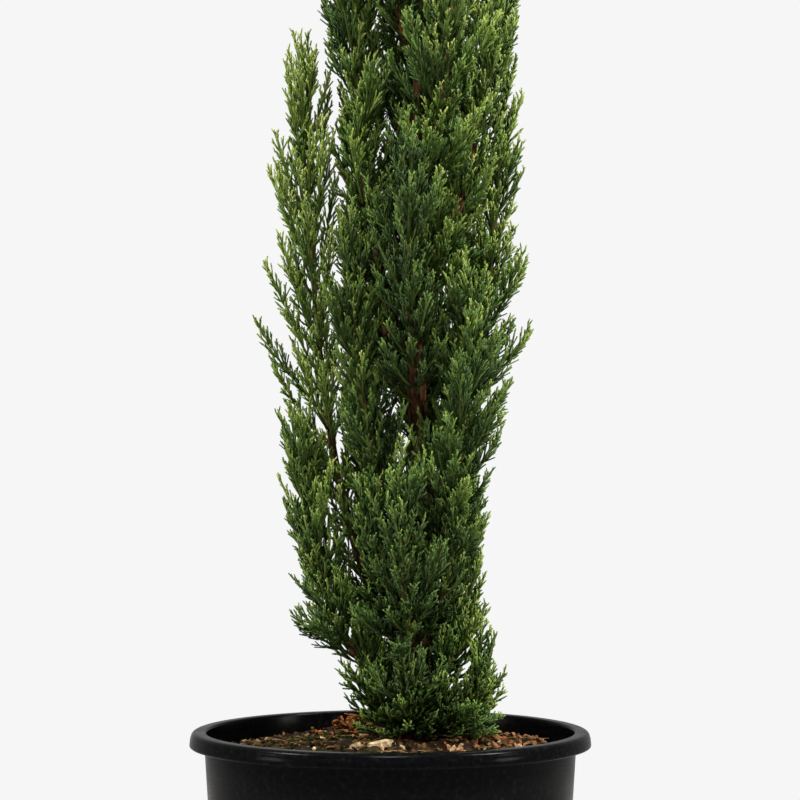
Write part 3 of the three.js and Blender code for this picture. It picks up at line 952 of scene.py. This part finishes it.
def number_ramp(material, factor, low, high):
    """Numbers by a factor, over the span in which a noise mostly lies."""
    values = {"From Min": NOISE_SPAN[0], "From Max": NOISE_SPAN[1], "To Min": low, "To Max": high}
    made = set_inputs(material.node_tree.nodes.new("ShaderNodeMapRange"), values)
    material.node_tree.links.new(factor, made.inputs["Value"])
    return made.outputs["Result"]


def add_bump(material, factor, strength, height):
    values = {"Strength": strength, "Distance": height * MM}
    bump = set_inputs(material.node_tree.nodes.new("ShaderNodeBump"), values)
    material.node_tree.links.new(factor, bump.inputs["Height"])
    connect(material, bump.outputs["Normal"], "Normal")


def grained(name, stops, grain):
    """A rough material whose colour runs through the stops by a noise, with a bump from the same noise."""
    scale, stretch, roughness, height = GRAINS[grain]
    material = principled(name, stops[0][1], roughness, GRAIN_SPECULAR)
    factor = noise(material, scale, GRAIN_DETAIL, stretch)
    connect(material, colour_ramp(material, factor, stops), "Base Color")
    add_bump(material, factor, GRAIN_BUMP, height)
    return material


def pot_material():
    """Black plastic with a satin sheen, faint scuffs and a little dust."""
    material = principled("pot_plastic", POT_COLOUR, POT_ROUGHNESS, POT_SPECULAR)
    connect(material, number_ramp(material, noise(material, *POT_SCUFFS), *POT_SCUFFED), "Roughness")
    connect(material, colour_ramp(material, noise(material, *POT_DUST), POT_DUST_STOPS), "Base Color")
    add_bump(material, noise(material, *POT_GRAIN), POT_GRAIN_BUMP, POT_GRAIN_HEIGHT)
    return material


# Pot and mix


def wall_radius(z):
    return blend(FOOT_RADIUS, WALL_TOP_RADIUS, z / (POT_HEIGHT - WALL))


def arc(centre, radius, start, end, steps):
    """Points on a rounded edge of a profile."""
    angles = np.radians(np.linspace(start, end, steps))
    return [(centre[0] + radius * math.cos(a), centre[1] + radius * math.sin(a)) for a in angles]


def pot_outside():
    """The pot's section from its foot up the wall to the rim."""
    under_rim = POT_HEIGHT - WALL
    foot = arc((wall_radius(0) - FOOT_ROUND, FOOT_ROUND), FOOT_ROUND, -90, 0, FOOT_STEPS)
    wall = [(wall_radius(z), z) for z in np.linspace(WALL_START, under_rim - WALL_END, WALL_RINGS)]
    return [(0, 0), *foot, *wall, (wall_radius(under_rim), under_rim)]


def pot_rim():
    """The hanging lip and the rounded rim."""
    lip_end = POT_HEIGHT - RIM_DROP + LIP_CLEAR
    inside = [(RIM_RADIUS - WALL - LIP_TAPER, POT_HEIGHT - WALL), (RIM_RADIUS - WALL, lip_end)]
    edge = arc((RIM_RADIUS - WALL / 2, lip_end), WALL / 2, 180, 360, LIP_STEPS)
    lip = [(RIM_RADIUS - LIP_TAPER / 2, POT_HEIGHT - RIM_ROUND - LIP_CLEAR)]
    centre = (RIM_RADIUS - LIP_TAPER - RIM_ROUND, POT_HEIGHT - RIM_ROUND)
    return [*inside, *edge, *lip, *arc(centre, RIM_ROUND, 0, 90, RIM_STEPS)]


def pot_inside():
    """The edge inside the rim, and the wall down to the floor."""
    top_radius = wall_radius(POT_HEIGHT) - WALL
    centre = (top_radius + RIM_INSIDE_ROUND, POT_HEIGHT - RIM_INSIDE_ROUND)
    edge = arc(centre, RIM_INSIDE_ROUND, 90, 180, RIM_INSIDE_STEPS)
    heights = np.linspace(POT_HEIGHT - INSIDE_START, FLOOR, INSIDE_RINGS)
    return [*edge, *((wall_radius(z) - WALL, z) for z in heights), (0, FLOOR)]


def drain_cutter():
    """The holes round the foot, as one object that is only used for cutting."""
    profile = [(0, 0), (DRAIN_RADIUS, 0), (DRAIN_RADIUS, DRAIN_DEPTH), (0, DRAIN_DEPTH)]
    vertices, triangles = lathe(profile, DRAIN_SIDES)
    lying = vertices[:, [2, 0, 1]] + (wall_radius(DRAIN_HEIGHT) - DRAIN_DEPTH / 2, 0, DRAIN_HEIGHT)
    holes = []
    for i in range(DRAINS):
        turn = TURN * (i + 0.5) / DRAINS
        c, s = math.cos(turn), math.sin(turn)
        holes.append((lying @ np.array(((c, s, 0), (-s, c, 0), (0, 0, 1))), triangles))
    return placed("drain_cutter", mesh_of("drain_cutter", *joined(holes), False))


def cut(made, cutter):
    """Cuts one object's mesh out of another's for good."""
    step = made.modifiers.new("cut", "BOOLEAN")
    step.operation = "DIFFERENCE"
    step.solver = "EXACT"
    step.object = cutter
    whole = bpy.data.meshes.new_from_object(made.evaluated_get(bpy.context.evaluated_depsgraph_get()))
    made.modifiers.clear()
    made.data = whole
    bpy.data.objects.remove(cutter)


def build_pot():
    profile = pot_outside() + pot_rim() + pot_inside()
    made = piece("pot_shell", lathe(profile, POT_SIDES), pot_material())
    cut(made, drain_cutter())
    made.data.set_sharp_from_angle(angle=math.radians(POT_SHARP_EDGE))
    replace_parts(made, "pot")


def mix_edge_radius():
    return wall_radius(MIX_EDGE) - WALL - MIX_CLEAR


def mix_height(x, y):
    """The top of the mix before its lumps: level at the trunk, falling to the wall, with a few heaps."""
    radius = np.hypot(x, y)
    share = np.clip((radius - MIX_SEAT) / (mix_edge_radius() - MIX_SEAT), 0, 1)
    height = blend(GROUND, MIX_EDGE, share**MIX_FALL)
    for heap_x, heap_y, width, rise in MIX_HEAPS:
        height = height + rise * np.exp(-((x - heap_x) ** 2 + (y - heap_y) ** 2) / (2 * width**2))
    return height


def lumps(x, y, random):
    """A rough surface from many small waves, about 1 high."""
    height = np.zeros_like(x)
    for _ in range(LUMP_WAVES):
        turn = random.uniform(0, TURN)
        wave = random.uniform(*LUMP_LENGTHS)
        phase = random.uniform(0, TURN)
        across = x * math.cos(turn) + y * math.sin(turn)
        height += np.sin(across * TURN / wave + phase) * wave / LUMP_LENGTHS[1]
    return height / LUMP_PILE


def build_mix(random):
    """The mix as one closed solid with a lumpy top."""
    edge = mix_edge_radius()
    tops = [(r, GROUND) for r in np.arange(edge, MIX_STEP / 2, -MIX_STEP)]
    bottom = FLOOR + MIX_CLEAR
    profile = [(0, bottom), (wall_radius(bottom) - WALL - MIX_CLEAR, bottom), *tops, (0, GROUND)]
    vertices, triangles = lathe(profile, POT_SIDES)
    x, y, z = vertices.T
    on_top = z > MIX_EDGE
    fade = np.clip((edge - np.hypot(x, y)) / LUMP_FADE, 0, 1) * on_top
    vertices[:, 2] = np.where(on_top, mix_height(x, y) + fade * LUMP_HEIGHT * lumps(x, y, random), z)
    material = grained("bark_mix", MIX_STOPS, "bark_mix")
    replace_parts(piece("mix_bed", (vertices, triangles), material), "potting_mix")


def scattered(count, where, random):
    """Places on the mix, all over it or about a patch."""
    if where is ALL_OVER:
        radius = (mix_edge_radius() - CHIP_CLEAR_OF_WALL) * np.sqrt(random.uniform(0, 1, count))
        turn = random.uniform(0, TURN, count)
        x, y = radius * np.cos(turn), radius * np.sin(turn)
    else:
        x = random.normal(where[0], where[2], count)
        y = random.normal(where[1], where[2], count)
        pull = np.minimum(1, (mix_edge_radius() - PATCH_CLEAR_OF_WALL) / np.hypot(x, y))
        x, y = x * pull, y * pull
    return np.stack([x, y, mix_height(x, y)], axis=1)


def spun(first, second, degrees):
    """Two coordinates of each set of points, turned in their plane."""
    turn = np.radians(degrees)[:, None]
    return first * np.cos(turn) - second * np.sin(turn), first * np.sin(turn) + second * np.cos(turn)


def tipped(shape, headings, pitch, roll):
    """Each set of points turned about X and Y a little, then to its heading about Z."""
    x, y, z = np.moveaxis(shape, -1, 0)
    y, z = spun(y, z, pitch)
    x, z = spun(x, z, roll)
    x, y = spun(x, y, headings)
    return np.stack([x, y, z], axis=2)


def slabs(centres, sizes, headings, tilt, random):
    """Rough flakes: sizes are half length, half width and half thickness."""
    count = len(centres)
    each = (count, CHIP_CORNERS)
    jitter = random.uniform(-CHIP_CORNER_JITTER, CHIP_CORNER_JITTER, each)
    corners = np.radians(np.arange(CHIP_CORNERS) * 360 / CHIP_CORNERS)[None] + jitter
    outline = np.stack([np.cos(corners), np.sin(corners)], axis=2)
    outline = outline * random.uniform(*CHIP_OUTLINES, (*each, 1)) * sizes[:, None, :2]
    rise = sizes[:, None, 2] * random.uniform(*CHIP_RISES, each)
    low = np.concatenate([outline, -rise[..., None]], axis=2)
    high = np.concatenate([outline * random.uniform(*CHIP_TOPS, (*each, 1)), rise[..., None]], axis=2)
    shape = np.concatenate([low, high], axis=1)
    shape = tipped(shape, headings, random.normal(0, tilt, count), random.normal(0, tilt, count))
    vertices = (shape + centres[:, None, :]).reshape(-1, 3)
    return vertices, repeated(slab_pattern(), count, 2 * CHIP_CORNERS)


def slab_pattern():
    """The triangles of one flake: its edge, its underside and its top."""
    pattern = []
    for corner in range(CHIP_CORNERS):
        beside = (corner + 1) % CHIP_CORNERS
        pattern.append((corner, beside, beside + CHIP_CORNERS))
        pattern.append((corner, beside + CHIP_CORNERS, corner + CHIP_CORNERS))
    for corner in range(1, CHIP_CORNERS - 1):
        pattern.append((0, corner + 1, corner))
        pattern.append((CHIP_CORNERS, CHIP_CORNERS + corner, CHIP_CORNERS + corner + 1))
    return np.array(pattern)


def pale_chip(random):
    place, halves, heading = PALE_CHIP
    return slabs(np.array([place]), np.array([halves]), np.array([heading]), PALE_CHIP_TILT, random)


def build_chips(random):
    """Loose bits on the mix: bark in several browns, moss and orange flakes."""
    for name, chips in CHIPS.items():
        count = chips["count"]
        centres = scattered(count, chips.get("where", ALL_OVER), random)
        centres[:, 2] += random.uniform(-CHIP_SUNK, chips["lift"], count)
        sizes = np.stack([random.uniform(*span, count) for span in chips["halves"]], axis=1)
        shape = slabs(centres, sizes, random.uniform(0, 360, count), CHIP_TILT, random)
        if name == "chips_tan":
            shape = joined([shape, pale_chip(random)])
        material = grained(name, tuple(zip(DIM_AND_BRIGHT, chips["colours"])), "chips")
        piece(name, shape, material, smooth=False)


def build_fibres(random):
    """Fine roots and strings of bark that lie on the mix."""
    root = scattered(FIBRES, ALL_OVER, random)
    root[:, 2] += random.uniform(*FIBRE_LIFTS, FIBRES)
    turn = random.uniform(0, TURN, FIBRES)
    heading = unit(np.stack([np.cos(turn), np.sin(turn), random.uniform(*FIBRE_SLOPES, FIBRES)], axis=1))
    length = random.uniform(*FIBRE_LENGTHS, FIBRES)
    room = mix_edge_radius() - FIBRE_CLEAR_OF_WALL - np.hypot(root[:, 0], root[:, 1])
    length = length * np.maximum(FIBRE_SHORTEST, np.minimum(1, room / length))
    fan = square_to(np.broadcast_to(UP, heading.shape), heading)
    fibres = Twigs(root, heading, length, FIBRE_BEND, fan, np.zeros(FIBRES))
    material = grained("fibres", tuple(zip(DIM_AND_BRIGHT, FIBRE_COLOURS)), "fibres")
    piece("fibres", rods(fibres, FIBRE_RINGS, np.ones(FIBRES)), material)


# Bark


def stringy(turn, along, random):
    """Relief of stringy bark, about -1 to 1: ridges that wander round as they climb."""
    height = np.zeros_like(turn + along)
    for ridges, share in BARK_RIDGES:
        phase, drift = random.uniform(0, TURN, 2)
        wander = np.sin(along / random.uniform(*BARK_SHORT_WAVES) + drift)
        wander = wander + np.sin(along / random.uniform(*BARK_LONG_WAVES) + phase)
        height += share * (1 - 2 * np.abs(np.sin(0.5 * (ridges * turn + phase) + wander)))
    return height


def bark_tube(point, way, across, radius, sides, relief, random):
    """A closed tube along points, with stringy ridges."""
    turn = np.arange(sides) * TURN / sides
    out = np.cross(across, way)
    gone = lengths_along(point)
    rough = radius[:, None] * (1 + relief * stringy(turn[None], gone[:, None], random))
    ring = across[:, None] * np.cos(turn)[None, :, None] + out[:, None] * np.sin(turn)[None, :, None]
    walls = (point[:, None] + ring * rough[..., None]).reshape(-1, 3)
    vertices = np.concatenate([walls, point[:1], point[-1:]])
    return vertices, skin(len(point), sides)[:, ::-1]


def trunk_shape(random):
    up = np.arange(-TRUNK_SUNK, TRUNK_HEIGHT + 1, TRUNK_RINGS_EVERY)
    point = trunk_axis(up)
    way = unit(np.gradient(point, axis=0))
    across = square_to(np.broadcast_to((1.0, 0.0, 0.0), way.shape), way)
    return bark_tube(point, way, across, trunk_radius(up), TRUNK_SIDES, BARK_RELIEF, random)


def stem_shape(stem, start, end, relief, random):
    """A stretch of a stem between two shares of its length."""
    rings = max(STEM_FEWEST_RINGS, round(stem.length * (end - start) / STEM_RINGS_EVERY))
    at = np.linspace(start, end, rings)
    point, way, across, _ = stem.along(at)
    return bark_tube(point, way, across, stem.radius(at), STEM_SIDES, relief, random)


def build_bark(stems, random):
    """Bark on the trunk and the lower stretch of each stem, and the green rest of the stems."""
    material = grained("bark", BARK_STOPS, "bark")
    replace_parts(piece("bark_trunk", trunk_shape(random), material), "trunk")
    nodes = [f"bough_{stem.name}" for stem in stems if stem.bare > 0]
    woody = joined([stem_shape(stem, 0, WOODY, BARK_RELIEF, random) for stem in stems])
    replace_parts(piece("bark_boughs", woody, material), *nodes)
    green = joined([stem_shape(stem, WOODY, STEM_END, GREEN_RELIEF, random) for stem in stems])
    green_material = grained("green_stems", GREEN_STEM_STOPS, "green_stems")
    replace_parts(piece("green_stems", green, green_material), *nodes)


# Crown


def girths(twigs, random):
    return random.uniform(*GIRTHS, len(twigs.length))


def shapes_in_green(number, orders, random):
    """The twigs that are dealt one green by their tone, as several shapes."""
    shapes = []
    for twigs, rings in orders:
        # Dealing the greens by tone paints the crown's light and shade along with its real tone.
        dealt = np.clip(np.floor(twigs.tone * len(GREENS)), 0, len(GREENS) - 1) == number
        mine = twigs.kept(dealt)
        for part in np.array_split(np.arange(len(mine.length)), TWIG_PARTS):
            some = mine.kept(part)
            shapes.append(rods(some, rings, girths(some, random)))
    return shapes


def build_crown(stems, random):
    """The foliage: the stems of its shoots, then the side twigs and twiglets of each green."""
    traces = [stem.along(np.linspace(stem.bare, 1, TRACE_POINTS))[0] for stem in stems]
    plumes = [grown_plume(stem, number, traces) for number, stem in enumerate(stems)]
    shoots, side_twigs, twiglets = [joined_twigs(order) for order in zip(*plumes)]
    nodes = [f"foliage_{stem.name}" for stem in stems]
    look = principled("foliage_shoot_stems", SHOOT_STEM, SHOOT_STEM_ROUGHNESS, SHOOT_STEM_SPECULAR)
    shape = rods(shoots, SHOOT_RINGS, girths(shoots, random))
    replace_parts(piece("foliage_shoot_stems", shape, look), *nodes)
    orders = ((side_twigs, SIDE_TWIG_RINGS), (twiglets, TWIGLET_RINGS))
    for number, (name, colour) in enumerate(GREENS):
        look = principled(f"foliage_{name}", colour, LEAF_ROUGHNESS, LEAF_SPECULAR)
        shapes = shapes_in_green(number, orders, random)
        for made in pieces_of(f"foliage_{name}", shapes, look):
            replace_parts(made, *nodes)


# Stage, light and camera


def add_light(name, kind, place, target, power):
    """A light that looks at its target; returns its data."""
    light = placed(name, bpy.data.lights.new(name, kind))
    light.data.energy = power
    light.data.color = LIGHT_COLOUR
    light.location = place
    light.rotation_mode = "QUATERNION"
    light.rotation_quaternion = (Vector(target) - Vector(place)).to_track_quat("-Z", "Y")
    return light.data


def add_lights():
    """Soft boxes round the plant, and spots that pick out the dark pot."""
    for name, place, target, size, power in LIGHTS:
        add_light(name, "AREA", place, target, power).size = size
    for name, place, target, cone, radius, power in POT_LIGHTS:
        spot = add_light(name, "SPOT", place, target, power)
        spot.spot_size = math.radians(cone)
        spot.spot_blend = SPOT_BLEND
        spot.shadow_soft_size = radius


def add_world():
    """A near-white surround to look at, which gives less light than it shows, most of it from behind."""
    world = bpy.data.worlds.new("studio")
    world.use_nodes = True
    bpy.context.scene.world = world
    nodes, links = world.node_tree.nodes, world.node_tree.links
    background = set_inputs(nodes["Background"], {"Color": (*BACKDROP, 1.0)})
    place = nodes.new("ShaderNodeTexCoord")
    axes = nodes.new("ShaderNodeSeparateXYZ")
    links.new(place.outputs["Generated"], axes.inputs["Vector"])
    spans = {"From Min": -1.0, "To Min": AMBIENT_FRONT, "To Max": AMBIENT_BACK}
    depth = set_inputs(nodes.new("ShaderNodeMapRange"), spans)
    links.new(axes.outputs["Y"], depth.inputs["Value"])
    rays = nodes.new("ShaderNodeLightPath")
    strength = set_inputs(nodes.new("ShaderNodeMapRange"), {"To Max": 1.0})
    links.new(depth.outputs["Result"], strength.inputs["To Min"])
    links.new(rays.outputs["Is Camera Ray"], strength.inputs["Value"])
    links.new(strength.outputs["Result"], background.inputs["Strength"])


def add_floor():
    profile = [(0, -STAGE_DEPTH), (STAGE_RADIUS, -STAGE_DEPTH), (STAGE_RADIUS, 0), (0, 0)]
    floor = placed("floor", mesh_of("floor", *lathe(profile, STAGE_SIDES), False))
    floor.data.materials.append(grained("floor", FLOOR_STOPS, "floor"))


def add_camera():
    camera = placed("camera", bpy.data.cameras.new("camera"))
    camera.data.lens = CAMERA_LENS
    camera.data.sensor_width = CAMERA_SENSOR
    camera.location = CAMERA_PLACE
    camera.rotation_euler = (math.radians(90), 0.0, 0.0)
    bpy.context.scene.camera = camera


def build_stage():
    bpy.context.scene.view_settings.view_transform = "Standard"
    add_world()
    add_floor()
    add_lights()
    add_camera()


def build_plant():
    random = np.random.default_rng(SEED)
    stems = all_stems()
    build_pot()
    build_mix(random)
    build_chips(random)
    build_fibres(random)
    build_bark(stems, random)
    build_crown(stems, random)


build_plant()
build_stage()
